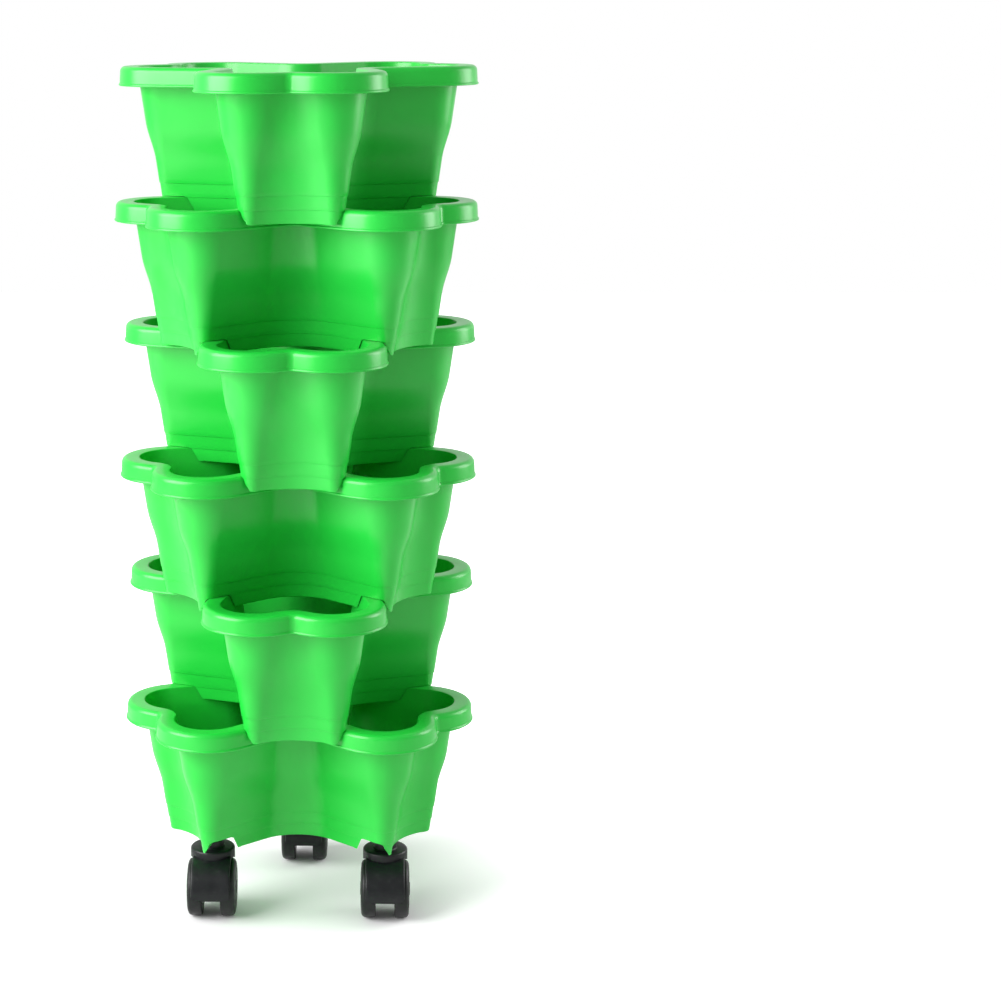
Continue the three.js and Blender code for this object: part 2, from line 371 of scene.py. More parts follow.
def round_corner(centre, radius, start, end, steps=ROUND_STEPS, squash=1.0):
    """Profile points of a quarter turn or less, angles in degrees, as (across, up)."""
    angles = np.radians(np.linspace(start, end, steps + 1))
    across = centre[0] + radius * np.cos(angles)
    up = centre[1] + radius * squash * np.sin(angles)
    return list(zip(across, up))


# Pot


def skirt_face(drop):
    """Inset of the skirt's outer face at a drop below the crest."""
    return SKIRT_LEAN * (SKIRT_DROP - drop) / (SKIRT_DROP - SHOULDER_RADIUS)


def outer_wall_rings():
    """The outside, from the ground up to the underside of the rim, with its two moulded steps."""
    rings = [
        wall_ring(FOOT_ROUND * (1 + math.sin(a)), FOOT_INSET + FOOT_ROUND * (1 - math.cos(a)))
        for a in np.linspace(-math.pi / 2, 0, ROUND_STEPS)
    ]
    inset = FOOT_INSET
    below = FOOT_ROUND
    for level in STEP_LEVELS:
        for height in np.linspace(below, level - STEP_ROUND, STEP_BAND_LEVELS + 1)[1:]:
            rings.append(wall_ring(height, inset))
        rings.append(wall_ring(level, inset))
        inset -= STEP_DEPTH
        for a in np.linspace(-math.pi / 2, 0, STEP_ARC_POINTS):
            up = STEP_ROUND * (1 + math.sin(a))
            rings.append(wall_ring(level + up, inset + STEP_ROUND * (1 - math.cos(a))))
        below = level + STEP_ROUND
    top = POT_HEIGHT - SKIRT_DROP
    count = round((top - below) / WALL_LEVEL_GAP)
    for height in np.linspace(below, top, count + 1)[1:]:
        rings.append(wall_ring(height, inset))
    return rings, inset


def rim_profile():
    """(inset, drop) points from under the rim, down inside the skirt, up its face and over the crest."""
    under = CREST_SAG + BAND_THICKNESS
    throat = BAND_WIDTH - THROAT_LAP
    skirt_inner = skirt_face(SKIRT_DROP) + SKIRT_WALL
    inner_top = skirt_inner + SKIRT_LEAN
    shoulder = SHOULDER_INNER_RADIUS
    lip = SKIRT_LIP
    hem = lip / 2
    face_middle = (SHOULDER_RADIUS + SKIRT_DROP) / 2
    profile = round_corner((throat - THROAT_FILLET, under + THROAT_FILLET), THROAT_FILLET, 0, -90)
    profile += round_corner((inner_top + shoulder, under + shoulder), shoulder, -90, -180)
    profile += round_corner((skirt_inner - hem, SKIRT_DROP - hem), hem, 0, 90, HEM_STEPS)
    profile += round_corner((lip, SKIRT_DROP - lip), lip, 90, 180, EDGE_STEPS)
    bead_top = SKIRT_DROP - BEAD_HEIGHT
    profile.append((skirt_face(bead_top), bead_top))
    profile.append((skirt_face(bead_top) + BEAD_DEPTH, bead_top - BEAD_DEPTH))
    profile.append((skirt_face(face_middle) + BEAD_DEPTH / 2, face_middle))
    crest_edge = (SKIRT_LEAN + SHOULDER_RADIUS, SHOULDER_RADIUS)
    profile += round_corner(crest_edge, SHOULDER_RADIUS, 180, 270, SHOULDER_STEPS)
    mouth_edge = (BAND_WIDTH - MOUTH_ROUND, CREST_SAG + MOUTH_ROUND)
    profile += round_corner(mouth_edge, MOUTH_ROUND, -90, 0, EDGE_STEPS)
    return profile


def pot_shell():
    rings, inset = outer_wall_rings()
    rings += [rim_ring(across, drop) for across, drop in rim_profile()]
    skirt_level = POT_HEIGHT - SKIRT_DROP
    inner = inset + POT_WALL
    throat_end = wall_ring(skirt_level, inner)
    mouth = rings[-1]
    for share in np.linspace(0, 1, THROAT_STEPS + 1)[1:]:
        rings.append(lerp(mouth, throat_end, share))
    inner_bottom = POT_WALL + FLOOR_FILLET
    count = round((skirt_level - inner_bottom) / WALL_LEVEL_GAP)
    for height in np.linspace(skirt_level, inner_bottom, count + 1)[1:]:
        rings.append(wall_ring(height, inner))
    for a in np.linspace(0, math.pi / 2, ROUND_STEPS + 1)[1:]:
        height = inner_bottom - FLOOR_FILLET * math.sin(a)
        rings.append(wall_ring(height, inner + FLOOR_FILLET * (1 - math.cos(a))))
    return loft("pot", rings, False)


def below_sweep(name, profile):
    """A solid swept round the rim of the pot below, from (inset, height) points."""
    rings = [raised(outline_ring(RIM_OUTLINE, inset), height) for inset, height in profile]
    return place(loft(name, rings, True), turn(HALF_PITCH))


def throat_face(drop):
    """Inset of the throat's inner face at a drop below the crest."""
    return lerp(BAND_WIDTH, NECK_INSET + POT_WALL, drop / SKIRT_DROP)


def channel_room():
    """Room for the rim of the pot below. Its outer side follows that rim's rounded shoulder."""
    shoulder_level = NEST_DEPTH - SEAT_GAP - SHOULDER_RADIUS
    foot = skirt_face(NEST_DEPTH) - NEST_CLEARANCE - NOTCH_FLARE
    side = SKIRT_LEAN - NEST_CLEARANCE - NOTCH_FLARE * NOTCH_FLARE_SHOULDER_SHARE
    profile = [(foot - TOOTH_ROUND, -OVERRUN), (foot - TOOTH_ROUND, 0)]
    tooth = (foot - TOOTH_ROUND, TOOTH_ROUND)
    profile += round_corner(tooth, TOOTH_ROUND, TOOTH_START_DEGREES, 0, TOOTH_STEPS)
    across = SKIRT_LEAN + SHOULDER_RADIUS
    room_top = NEST_DEPTH + SEAT_GAP
    up = (room_top - shoulder_level) / (across - side)
    profile += round_corner((across, shoulder_level), across - side, 180, 90, SHOULDER_STEPS, up)
    inner_top = throat_face(0) + NEST_CLEARANCE - ROOF_ROUND
    inner_edge = (inner_top, room_top - ROOF_ROUND)
    profile += round_corner(inner_edge, ROOF_ROUND, 90, ROOF_END_DEGREES, TOOTH_STEPS)
    profile.append((throat_face(NEST_DEPTH + OVERRUN) + NEST_CLEARANCE, -OVERRUN))
    return below_sweep("channel_room", profile)


def channel_roof():
    """Roof over the channel, one wall thicker than its room."""
    shoulder_level = NEST_DEPTH - SEAT_GAP - SHOULDER_RADIUS
    top = NEST_DEPTH + POT_WALL
    side = SKIRT_LEAN - NEST_CLEARANCE - NOTCH_FLARE * NOTCH_FLARE_SHOULDER_SHARE - POT_WALL
    foot = skirt_face(NEST_DEPTH) - NEST_CLEARANCE - NOTCH_FLARE
    profile = [(foot - POT_WALL - TOOTH_ROUND, 0)]
    across = SKIRT_LEAN + SHOULDER_RADIUS
    up = (top - shoulder_level) / (across - side)
    profile += round_corner((across, shoulder_level), across - side, 180, 90, SHOULDER_STEPS, up)
    inner_top = throat_face(0) + NEST_CLEARANCE + POT_WALL - ROOF_ROUND
    inner_edge = (inner_top, top - ROOF_ROUND)
    profile += round_corner(inner_edge, ROOF_ROUND, 90, ROOF_END_DEGREES, TOOTH_STEPS)
    profile.append((throat_face(NEST_DEPTH) + NEST_CLEARANCE + POT_WALL, 0))
    return below_sweep("channel_roof", profile)


def post(name, radius, bottom, top, edge=0):
    """An upright round bar, its top edge rounded where an edge is given."""
    profile = [(0, bottom), (radius, bottom)]
    if edge:
        profile += round_corner((radius - edge, top - edge), edge, 0, 90, EDGE_STEPS)
    else:
        profile.append((radius, top))
    return turned(name, profile + [(0, top)])


def make_pot():
    roof_top = NEST_DEPTH + POT_WALL
    middle = POT_WALL / 2
    core = loft("core", [wall_ring(0, middle), wall_ring(roof_top + POT_WALL, middle)], False)
    pot = pot_shell()
    combine(pot, combine(channel_roof(), core, "INTERSECT"), "UNION")
    for k in range(LOBE_COUNT):
        spot = turn(k * LOBE_PITCH) @ shift(SOCKET_REACH, 0, 0)
        boss = post("boss", BOSS_RADIUS, BOSS_FOOT, roof_top, BOSS_ROUND)
        combine(pot, place(boss, spot), "UNION")
    combine(pot, channel_room(), "DIFFERENCE")
    for k in range(LOBE_COUNT):
        spot = turn(k * LOBE_PITCH) @ shift(SOCKET_REACH, 0, 0)
        socket = post("socket", SOCKET_RADIUS, -OVERRUN, NEST_DEPTH)
        combine(pot, place(socket, spot), "DIFFERENCE")
        spot = turn(k * LOBE_PITCH + DRAIN_TURN) @ shift(DRAIN_REACH, 0, 0)
        drain = post("drain", DRAIN_RADIUS, -OVERRUN, POT_WALL + OVERRUN)
        combine(pot, place(drain, spot), "DIFFERENCE")
    return pot


# Casters, each drawn about its own stem with the floor at height 0 and trailing towards -Y


def on_axle(made):
    """Turns a solid made about +Z to lie along the axle, its +Z towards +X."""
    return place(made, shift(0, -WHEEL_TRAIL, WHEEL_RADIUS) @ turn(math.pi / 2, "Y"))


def fender():
    """Part of a barrel about the axle, its edges rounded and its lower ends curved up at the sides."""
    radius = WHEEL_RADIUS + WHEEL_CLEARANCE + HOOD_WALL
    dip = math.asin(HOOD_SKIRT / radius)
    half = HOOD_HALF_WIDTH
    left = round_corner((-half + HOOD_EDGE, radius - HOOD_EDGE), HOOD_EDGE, 180, 90, EDGE_STEPS)
    right = round_corner((half - HOOD_EDGE, radius - HOOD_EDGE), HOOD_EDGE, 90, 0, EDGE_STEPS)
    middle = [(x, radius) for x in np.linspace(left[-1][0], right[0][0], HOOD_SLICES)[1:-1]]
    profile = [(-half, 0)] + left + middle + right + [(half, 0)]
    points = []
    for x, r in profile:
        side = max(abs(x) - (half - HOOD_CORNER), 0) / HOOD_CORNER
        lift = HOOD_CORNER_LIFT * (1 - math.sqrt(max(1 - side * side, 0))) / radius
        for angle in np.linspace(lift - dip, math.pi + dip - lift, CIRCLE_STEPS + 1):
            points.append((x, -WHEEL_TRAIL - r * math.cos(angle), WHEEL_RADIUS + r * math.sin(angle)))
    count = CIRCLE_STEPS + 1
    faces = []
    for row in range(len(profile) - 1):
        for i in range(CIRCLE_STEPS):
            low, high = row * count + i, (row + 1) * count + i
            faces.append((low, low + 1, high + 1, high))
    starts = range(0, len(points), count)
    faces.append(tuple(starts))
    faces.append(tuple(start + CIRCLE_STEPS for start in reversed(starts)))
    return weld(new_object("fender", points, faces))


def weld(made):
    """Merges the points that lie on one another, and turns the faces outwards."""
    shape = bmesh.new()
    shape.from_mesh(made.data)
    bmesh.ops.remove_doubles(shape, verts=shape.verts, dist=WELD_DISTANCE)
    bmesh.ops.dissolve_degenerate(shape, edges=shape.edges, dist=WELD_DISTANCE)
    bmesh.ops.recalc_face_normals(shape, faces=shape.faces)
    shape.to_mesh(made.data)
    shape.free()
    return made


def hood():
    body = fender()
    neck_top = stem_base() - SEAT_GAP
    bottom = COLLAR_TOP - COLLAR_HEIGHT
    lip_edge = (COLLAR_RADIUS - COLLAR_LIP, bottom + COLLAR_LIP)
    top_edge = (COLLAR_RADIUS - COLLAR_ROUND, COLLAR_TOP - COLLAR_ROUND)
    neck_edge = (NECK_RADIUS - NECK_ROUND, neck_top - NECK_ROUND)
    column = turned("column", [
        (0, bottom - OVERRUN),
        (COLLAR_SHELF, bottom - OVERRUN),
        (COLLAR_SHELF, bottom),
        (COLLAR_RADIUS - COLLAR_LIP / 2, bottom),
        *round_corner(lip_edge, COLLAR_LIP, COLLAR_LIP_START_DEGREES, 0, HEM_STEPS),
        *round_corner(top_edge, COLLAR_ROUND, 0, 90),
        (NECK_RADIUS + NECK_FILLET, COLLAR_TOP),
        (NECK_RADIUS, COLLAR_TOP + NECK_FILLET),
        *round_corner(neck_edge, NECK_ROUND, 0, 90, EDGE_STEPS),
        (0, neck_top),
    ])
    combine(body, column, "UNION")
    combine(body, on_axle(post("hub", HUB_RADIUS, -HUB_HALF_WIDTH, HUB_HALF_WIDTH)), "UNION")
    well = WHEEL_RADIUS + WHEEL_CLEARANCE
    end = COLLAR_RADIUS + OVERRUN
    combine(body, on_axle(post("right_well", well, HUB_HALF_WIDTH, end)), "DIFFERENCE")
    combine(body, on_axle(post("left_well", well, -end, -HUB_HALF_WIDTH)), "DIFFERENCE")
    bore = post("bore", STEM_RADIUS + SEAT_GAP, neck_top - STEM_DEPTH - SEAT_GAP, neck_top + OVERRUN)
    combine(body, bore, "DIFFERENCE")
    combine(body, on_axle(post("axle_bore", AXLE_RADIUS + SEAT_GAP, -end, end)), "DIFFERENCE")
    return body


def stem_base():
    """Height of the underside of the stem's flange."""
    return BASE_HEIGHT - SEAT_GAP - FLANGE_THICKNESS


def stem():
    tip = BASE_HEIGHT + NEST_DEPTH - STEM_TIP_CLEARANCE
    flange = BASE_HEIGHT - SEAT_GAP
    low = BASE_HEIGHT + RING_LEVEL - SEAT_GAP
    high = BASE_HEIGHT + RING_LEVEL + RING_HEIGHT + SEAT_GAP
    edge = STEM_CHAMFER / 2
    return turned("stem", [
        (0, stem_base() - STEM_DEPTH),
        (STEM_RADIUS - edge, stem_base() - STEM_DEPTH),
        (STEM_RADIUS, stem_base() - STEM_DEPTH + edge),
        (STEM_RADIUS, stem_base()),
        (FLANGE_RADIUS - edge, stem_base()),
        (FLANGE_RADIUS, stem_base() + edge),
        (FLANGE_RADIUS, flange - edge),
        (FLANGE_RADIUS - edge, flange),
        (STEM_RADIUS, flange),
        (STEM_RADIUS, low),
        (GROOVE_RADIUS, low),
        (GROOVE_RADIUS, high),
        (STEM_RADIUS, high),
        (STEM_RADIUS, tip - STEM_CHAMFER),
        (STEM_RADIUS - STEM_CHAMFER, tip),
        (0, tip),
    ])


def grip_ring():
    """Split spring ring, drawn as a swept square with rounded corners that stops short of itself."""
    inner = GROOVE_RADIUS + SEAT_GAP
    outer = SOCKET_RADIUS - SEAT_GAP
    start = math.asin(RING_GAP / 2 / outer)
    low = BASE_HEIGHT + RING_LEVEL
    high = low + RING_HEIGHT
    middle = ((inner + outer) / 2, (low + high) / 2)
    edge = (outer - inner) * RING_EDGE_SHARE
    section = []
    for across, up, first in ((outer, low, -90), (outer, high, 0), (inner, high, 90), (inner, low, 180)):
        centre = (across - math.copysign(edge, across - middle[0]), up - math.copysign(edge, up - middle[1]))
        section += round_corner(centre, edge, first, first + 90, HEM_STEPS)
    rings = []
    for angle in np.linspace(start, FULL_TURN - start, CIRCLE_STEPS):
        rings.append([(r * math.cos(angle), r * math.sin(angle), z) for r, z in section])
    return weld(loft("grip_ring", [np.array(ring) for ring in rings], False))


def axle():
    edge = AXLE_CHAMFER
    half = AXLE_SPAN / 2
    profile = [(0, -half), (AXLE_RADIUS - edge, -half), (AXLE_RADIUS, edge - half)]
    profile += [(AXLE_RADIUS, half - edge), (AXLE_RADIUS - edge, half), (0, half)]
    return on_axle(turned("axle", profile))


def cover_face(radius):
    """How far the domed cover's face lies along the axle at a radius."""
    return WHEEL_INNER_FACE + WHEEL_WIDTH - DISC_RISE * (radius / DISC_RADIUS) ** 2


def wheel(side):
    """One of a pair: flat inner face, tread, and a shoulder that rolls into a domed, grooved cover."""
    inner = WHEEL_INNER_FACE
    outer = inner + WHEEL_WIDTH
    bore = AXLE_RADIUS + SEAT_GAP
    edge = WHEEL_EDGE
    tread_end = inner + WHEEL_TREAD_END
    profile = [(0, AXLE_SPAN / 2 + SEAT_GAP), (bore, AXLE_SPAN / 2 + SEAT_GAP), (bore, inner)]
    profile.append((DISC_GROOVE_RADIUS, inner))
    profile.append((WHEEL_RADIUS - edge, inner))
    profile += round_corner((WHEEL_RADIUS - edge, inner + edge), edge, -90, 0, EDGE_STEPS)[1:]
    profile.append((WHEEL_RADIUS, (inner + edge + tread_end) / 2))
    drop = WHEEL_RADIUS - DISC_RADIUS
    rise = outer - DISC_RISE - tread_end
    for a in np.linspace(0, math.pi / 2, DISC_STEPS + 1):
        profile.append((DISC_RADIUS + drop * math.cos(a) ** DISC_FULLNESS, tread_end + rise * math.sin(a)))
    groove, width = DISC_GROOVE_RADIUS, DISC_GROOVE_WIDTH
    floor_width = width * DISC_GROOVE_FLOOR_SHARE
    floor_face = cover_face(groove) - DISC_GROOVE_DEPTH
    profile.append((groove + width, cover_face(groove + width)))
    profile.append((groove + floor_width, floor_face))
    profile.append((groove - floor_width, floor_face))
    profile.append((groove - width, cover_face(groove - width)))
    for radius in np.linspace(groove - width, CAP_RADIUS, COVER_STEPS + 1)[1:]:
        profile.append((radius, cover_face(radius) - CAP_RISE))
    profile.append((CAP_RADIUS, cover_face(CAP_RADIUS) - CAP_RISE / 2))
    profile.append((CAP_RADIUS - CAP_RISE, cover_face(CAP_RADIUS)))
    profile.append((0, outer))
    made = turned("wheel", profile, WHEEL_STEPS)
    if side < 0:
        place(made, turn(math.pi, "X"))
    return on_axle(made)


# Materials. A noise is (waves a metre, detail) and, where it is drawn out, its stretch along each axis.
# A bump is (depth in millimetres, strength).

NOISE_LOW = 0.3
NOISE_HIGH = 0.7

POT_GREENS = ((0.010, 0.480, 0.036), (0.014, 0.520, 0.044), (0.019, 0.560, 0.054))
POT_TINT_PLACES = (0.2, 0.5, 0.8)
POT_TINT = (11, 2)
POT_STREAKS = (1, 1, (150, 150, 3))
POT_STREAK_BUMP = (0.1, 0.5)
POT_ROUGHNESS = 0.31
POT_IOR = 1.5

BLACK_IOR = 1.4
CASTER_BLACKS = ((0.004, 0.005, 0.006), (0.006, 0.007, 0.008), (0.014, 0.015, 0.016))
CASTER_DUST_PLACES = (0.35, 0.6, 0.78)
CASTER_DUST = (160, 6)
CASTER_GLOSS = (90, 5)
CASTER_ROUGHNESS = (0.34, 0.46)
CASTER_GRAIN = (1900, 3)
CASTER_GRAIN_BUMP = (0.05, 0.5)
CASTER_SINK = (70, 1)
CASTER_SINK_BUMP = (0.25, 0.4)

WHEEL_BLACKS = ((0.005, 0.006, 0.006), (0.008, 0.009, 0.009), (0.018, 0.018, 0.019))
WHEEL_DUST_PLACES = (0.35, 0.6, 0.8)
WHEEL_DUST = (110, 6)
WHEEL_GLOSS = (130, 5)
WHEEL_ROUGHNESS = (0.38, 0.52)
WHEEL_LINES = (1, 2, (1500, 40, 40))
WHEEL_LINE_BUMP = (0.05, 0.4)
WHEEL_GRAIN = (1600, 3)
WHEEL_GRAIN_BUMP = (0.05, 0.5)

STEEL_GREYS = ((0.52, 0.53, 0.55), (0.66, 0.67, 0.69))
STEEL_CLOUD_PLACES = (0.3, 0.7)
STEEL_CLOUD = (220, 5)
STEEL_ROUGHNESS = (0.26, 0.40)
STEEL_LINES = (1, 2, (120, 120, 3500))
STEEL_LINE_BUMP = (0.02, 0.5)


def new_material(name):
    material = bpy.data.materials.new(name)
    material.use_nodes = True
    tree = material.node_tree
    shader = next(n for n in tree.nodes if n.type == "BSDF_PRINCIPLED")
    coordinates = tree.nodes.new("ShaderNodeTexCoord").outputs["Object"]
    return material, tree, shader, coordinates


def noise(tree, coordinates, scale, detail, stretch=None):
    """Noise of a scale in waves a metre, drawn out along an axis where stretch says."""
    if stretch:
        mapping = tree.nodes.new("ShaderNodeMapping")
        mapping.inputs["Scale"].default_value = stretch
        tree.links.new(coordinates, mapping.inputs["Vector"])
        coordinates = mapping.outputs["Vector"]
    texture = tree.nodes.new("ShaderNodeTexNoise")
    texture.inputs["Scale"].default_value = scale
    texture.inputs["Detail"].default_value = detail
    tree.links.new(coordinates, texture.inputs["Vector"])
    return texture.outputs["Fac"]


def spread_over(tree, value, low, high, start=NOISE_LOW, end=NOISE_HIGH):
    """A value between start and end, spread over the range from low to high."""
    node = tree.nodes.new("ShaderNodeMapRange")
    node.inputs["From Min"].default_value = start
    node.inputs["From Max"].default_value = end
    node.inputs["To Min"].default_value = low
    node.inputs["To Max"].default_value = high
    tree.links.new(value, node.inputs["Value"])
    return node.outputs["Result"]


def ramp(tree, value, places, colours):
    """A value turned into colours, each reached at its place between 0 and 1."""
    node = tree.nodes.new("ShaderNodeValToRGB")
    elements = node.color_ramp.elements
    stops = list(zip(places, colours))
    for element, (at, colour) in zip(elements, (stops[0], stops[-1])):
        element.position, element.color = at, (*colour, 1)
    for at, colour in stops[1:-1]:
        elements.new(at).color = (*colour, 1)
    tree.links.new(value, node.inputs["Fac"])
    return node.outputs["Color"]


def bumps(tree, shader, layers):
    """Bump layers, each (height, depth in mm, strength), one on top of the other."""
    normal = None
    for height, depth, strength in layers:
        node = tree.nodes.new("ShaderNodeBump")
        node.inputs["Strength"].default_value = strength
        node.inputs["Distance"].default_value = depth * MM
        tree.links.new(height, node.inputs["Height"])
        if normal:
            tree.links.new(normal, node.inputs["Normal"])
        normal = node.outputs["Normal"]
    tree.links.new(normal, shader.inputs["Normal"])


def pot_plastic():
    """Glossy green moulding with a faint mottle and flow streaks up the walls."""
    material, tree, shader, coordinates = new_material("green_plastic")
    tint = noise(tree, coordinates, *POT_TINT)
    tree.links.new(ramp(tree, tint, POT_TINT_PLACES, POT_GREENS), shader.inputs["Base Color"])
    streaks = noise(tree, coordinates, *POT_STREAKS)
    bumps(tree, shader, [(streaks, *POT_STREAK_BUMP)])
    shader.inputs["Roughness"].default_value = POT_ROUGHNESS
    shader.inputs["IOR"].default_value = POT_IOR
    return material


def black_plastic(name, dust_noise, dust_places, blacks, gloss_noise, roughness, layers):
    """Black moulding, paler where dust lies, of uneven gloss. Each bump layer is (noise, bump)."""
    material, tree, shader, coordinates = new_material(name)
    dust = noise(tree, coordinates, *dust_noise)
    tree.links.new(ramp(tree, dust, dust_places, blacks), shader.inputs["Base Color"])
    gloss = noise(tree, coordinates, *gloss_noise)
    tree.links.new(spread_over(tree, gloss, *roughness), shader.inputs["Roughness"])
    bumps(tree, shader, [(noise(tree, coordinates, *height), *bump) for height, bump in layers])
    shader.inputs["IOR"].default_value = BLACK_IOR
    return material


def caster_plastic():
    """The hoods' black, with shallow sink marks under a fine grain."""
    dust = (CASTER_DUST, CASTER_DUST_PLACES, CASTER_BLACKS)
    layers = ((CASTER_SINK, CASTER_SINK_BUMP), (CASTER_GRAIN, CASTER_GRAIN_BUMP))
    return black_plastic("black_plastic", *dust, CASTER_GLOSS, CASTER_ROUGHNESS, layers)


def tread_plastic():
    """The wheels' black, a little drier, with faint turning lines."""
    dust = (WHEEL_DUST, WHEEL_DUST_PLACES, WHEEL_BLACKS)
    layers = ((WHEEL_LINES, WHEEL_LINE_BUMP), (WHEEL_GRAIN, WHEEL_GRAIN_BUMP))
    return black_plastic("wheel_plastic", *dust, WHEEL_GLOSS, WHEEL_ROUGHNESS, layers)


def zinc_steel():
    """Zinc-plated steel: drawn lines across the turned pieces and cloudy plating."""
    material, tree, shader, coordinates = new_material("zinc_steel")
    cloud = noise(tree, coordinates, *STEEL_CLOUD)
    tree.links.new(ramp(tree, cloud, STEEL_CLOUD_PLACES, STEEL_GREYS), shader.inputs["Base Color"])
    tree.links.new(spread_over(tree, cloud, *STEEL_ROUGHNESS), shader.inputs["Roughness"])
    lines = noise(tree, coordinates, *STEEL_LINES)
    bumps(tree, shader, [(lines, *STEEL_LINE_BUMP)])
    shader.inputs["Metallic"].default_value = 1.0
    return material


# Putting the pieces on the frame


def own(made, name, node, body, material):
    """Names a piece, gives it its material, and stands it in for a CAD node on that node's body."""
    made.name = made.data.name = name
    made.data.materials.clear()
    made.data.materials.append(material)
    smooth(made)
    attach(made, body)
    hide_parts(node)


green = pot_plastic()
black = caster_plastic()
wheel_black = tread_plastic()
zinc = zinc_steel()

pot_shape = make_pot()
for tier in range(TIER_COUNT):
    number = tier + 1
    node = f"pot_tier_{number}"
    pot = bpy.data.objects.new(node, pot_shape.data.copy())
    bpy.context.scene.collection.objects.link(pot)
    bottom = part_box(node)[0][2] / MM
    place(pot, shift(0, 0, bottom) @ turn(FIRST_LOBE + tier * HALF_PITCH))
    own(pot, f"moulded_pot_{number}", node, f"tier_{number}" if tier else "base", green)
bpy.data.objects.remove(pot_shape)

for caster in range(CASTER_COUNT):
    name = f"caster_{caster + 1}"
    low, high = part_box(f"{name}_stem")
    spot = Matrix.Translation(((low[0] + high[0]) / 2, (low[1] + high[1]) / 2, 0))
    fork = f"{name}_fork"
    shapes = (
        (stem(), "stem", "base", "steel", zinc),
        (grip_ring(), "grip_ring", "base", "steel", zinc),
        (hood(), "hood", fork, "caster_plastic", black),
        (axle(), "axle", fork, "steel", zinc),
        (wheel(-1), "wheel_left", f"{name}_left_wheel", "caster_plastic", wheel_black),
        (wheel(1), "wheel_right", f"{name}_right_wheel", "caster_plastic", wheel_black),
    )
    for made, part, body, slot, material in shapes:
        own(place(made, spot), f"fine_{name}_{part}", f"{name}_{part}", body, material)


# Floor, light and camera

FLOOR_SIDE = 9.0
FLOOR_ALBEDO = 0.86
# The floor's glow, seen only by the camera, is dimmed near the tower and by occlusion in the nooks round the
# wheels: painted shade.
FLOOR_LIFT = 0.12
FLOOR_LIFT_NEAR = 0.12
FLOOR_LIFT_FAR = 0.34
FLOOR_PAINTED_SHADE_REACH = 0.06
WORLD_LIGHT = 0.40
WORLD_GLOSS_FRONT = 0.25
WORLD_GLOSS_BACK = 1.0
WORLD_GLOSS_TURN = (-0.1, 0.6)
WHITE = (1, 1, 1, 1)
TOWER_MIDDLE = (0, 0, 0.42)
KEY_LAMP = {"azimuth": -64, "elevation": 24, "distance": 2.4, "width": 2.2, "height": 1.8, "power": 116}
SIDE_LAMP = {"azimuth": 104, "elevation": 16, "distance": 2.4, "width": 1.2, "height": 1.6, "power": 36}


def worked_out(tree, operation, first, second):
    """The result of a sum on two values, each a socket or a number."""
    node = tree.nodes.new("ShaderNodeMath")
    node.operation = operation
    for socket, value in zip(node.inputs, (first, second)):
        if isinstance(value, bpy.types.NodeSocket):
            tree.links.new(value, socket)
        else:
            socket.default_value = value
    return node.outputs[0]


def plain_floor():
    """Matt floor that the camera sees white farther out, with painted shade under the tower and in the nooks
    round the wheels.
    """
    corner = FLOOR_SIDE / 2 / MM
    points = [(-corner, -corner, 0), (corner, -corner, 0), (corner, corner, 0), (-corner, corner, 0)]
    floor = new_object("floor", points, [(0, 1, 2, 3)])
    material = bpy.data.materials.new("pale_floor")
    material.use_nodes = True
    tree = material.node_tree
    tree.nodes.clear()
    matt = tree.nodes.new("ShaderNodeBsdfDiffuse")
    matt.inputs["Color"].default_value = (FLOOR_ALBEDO, FLOOR_ALBEDO, FLOOR_ALBEDO, 1)
    glow = tree.nodes.new("ShaderNodeEmission")
    glow.inputs["Color"].default_value = WHITE
    rays = tree.nodes.new("ShaderNodeLightPath")
    coordinates = tree.nodes.new("ShaderNodeTexCoord")
    away = tree.nodes.new("ShaderNodeVectorMath")
    away.operation = "LENGTH"
    tree.links.new(coordinates.outputs["Object"], away.inputs[0])
    # Painted shade: the camera's glow is dimmed under the tower, and dimmed again by occlusion where the
    # floor meets the wheels and hoods.
    strength = spread_over(tree, away.outputs["Value"], FLOOR_LIFT, 1, FLOOR_LIFT_NEAR, FLOOR_LIFT_FAR)
    painted_nook_shade = tree.nodes.new("ShaderNodeAmbientOcclusion")
    painted_nook_shade.inputs["Distance"].default_value = FLOOR_PAINTED_SHADE_REACH
    shaded = worked_out(tree, "MULTIPLY", strength, painted_nook_shade.outputs["AO"])
    lift = worked_out(tree, "MULTIPLY", rays.outputs["Is Camera Ray"], shaded)
    tree.links.new(lift, glow.inputs["Strength"])
    both = tree.nodes.new("ShaderNodeAddShader")
    tree.links.new(matt.outputs[0], both.inputs[0])
    tree.links.new(glow.outputs[0], both.inputs[1])
    output = tree.nodes.new("ShaderNodeOutputMaterial")
    tree.links.new(both.outputs[0], output.inputs["Surface"])
    floor.data.materials.append(material)


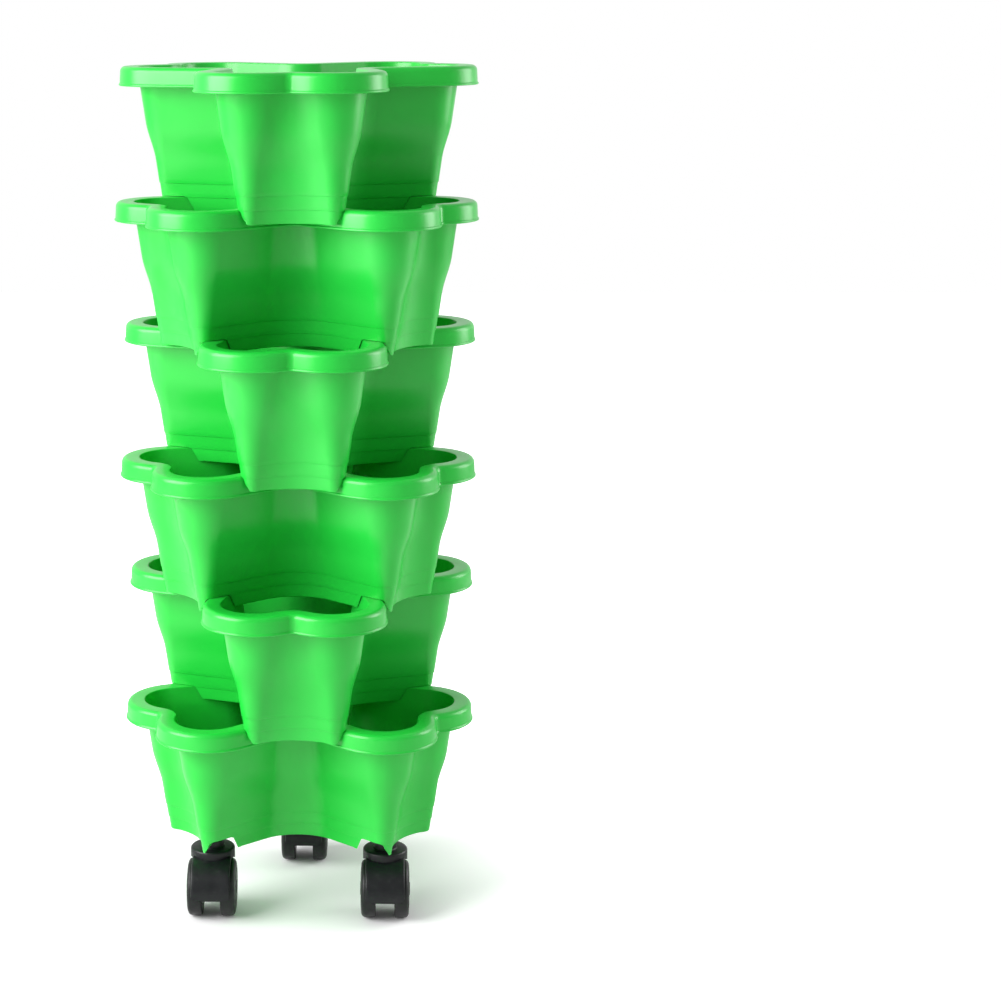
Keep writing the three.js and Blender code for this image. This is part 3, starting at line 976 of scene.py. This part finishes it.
def plain_world():
    """White to the camera, even and dimmer as light, and darker in front than behind in reflections."""
    world = bpy.data.worlds.new("studio")
    bpy.context.scene.world = world
    world.use_nodes = True
    tree = world.node_tree
    background = next(n for n in tree.nodes if n.type == "BACKGROUND")
    background.inputs["Color"].default_value = WHITE
    rays = tree.nodes.new("ShaderNodeLightPath")
    seen = worked_out(tree, "MAXIMUM", rays.outputs["Is Camera Ray"], rays.outputs["Is Transmission Ray"])
    coordinates = tree.nodes.new("ShaderNodeTexCoord")
    direction = tree.nodes.new("ShaderNodeSeparateXYZ")
    tree.links.new(coordinates.outputs["Generated"], direction.inputs[0])
    depth = direction.outputs["Y"]
    backdrop = spread_over(tree, depth, WORLD_GLOSS_FRONT, WORLD_GLOSS_BACK, *WORLD_GLOSS_TURN)
    gloss = worked_out(tree, "MULTIPLY", rays.outputs["Is Glossy Ray"], backdrop)
    bright = worked_out(tree, "MAXIMUM", seen, gloss)
    strength = worked_out(tree, "MAXIMUM", bright, WORLD_LIGHT)
    tree.links.new(strength, background.inputs["Strength"])


def soft_lamp(name, azimuth, elevation, distance, width, height, power):
    """A soft box aimed at the tower. Azimuth 0 is straight in front of it, positive towards +X."""
    data = bpy.data.lights.new(name, "AREA")
    data.shape = "RECTANGLE"
    data.size, data.size_y = width, height
    data.energy = power
    lamp = bpy.data.objects.new(name, data)
    a, e = math.radians(azimuth), math.radians(elevation)
    away = Vector((math.sin(a) * math.cos(e), -math.cos(a) * math.cos(e), math.sin(e)))
    lamp.location = Vector(TOWER_MIDDLE) + away * distance
    lamp.rotation_euler = away.to_track_quat("Z", "Y").to_euler()
    bpy.context.scene.collection.objects.link(lamp)


def photograph_camera():
    data = bpy.data.cameras.new("camera")
    data.sensor_width = SENSOR_WIDTH
    data.lens = FOCAL_PIXELS * SENSOR_WIDTH / PHOTO_SIDE
    data.shift_x = (PHOTO_SIDE / 2 - FRAME_MIDDLE_PIXEL) / PHOTO_SIDE
    data.clip_start, data.clip_end = CAMERA_CLIP
    camera = bpy.data.objects.new("camera", data)
    heading, pitch, roll = CAMERA_HEADING, CAMERA_PITCH, CAMERA_ROLL
    level = math.cos(pitch)
    ahead = Vector((math.sin(heading) * level, math.cos(heading) * level, -math.sin(pitch)))
    right = Vector((math.cos(heading), -math.sin(heading), 0))
    up = right.cross(ahead)
    tilted_right = right * math.cos(roll) + up * math.sin(roll)
    tilted_up = up * math.cos(roll) - right * math.sin(roll)
    turned_to = Matrix((tilted_right, tilted_up, -ahead)).transposed().to_4x4()
    camera.matrix_world = Matrix.Translation(Vector(CAMERA_PLACE) * MM) @ turned_to
    bpy.context.scene.collection.objects.link(camera)
    bpy.context.scene.camera = camera


plain_floor()
plain_world()
soft_lamp("key", **KEY_LAMP)
soft_lamp("side", **SIDE_LAMP)
photograph_camera()
bpy.context.scene.view_settings.view_transform = "Standard"
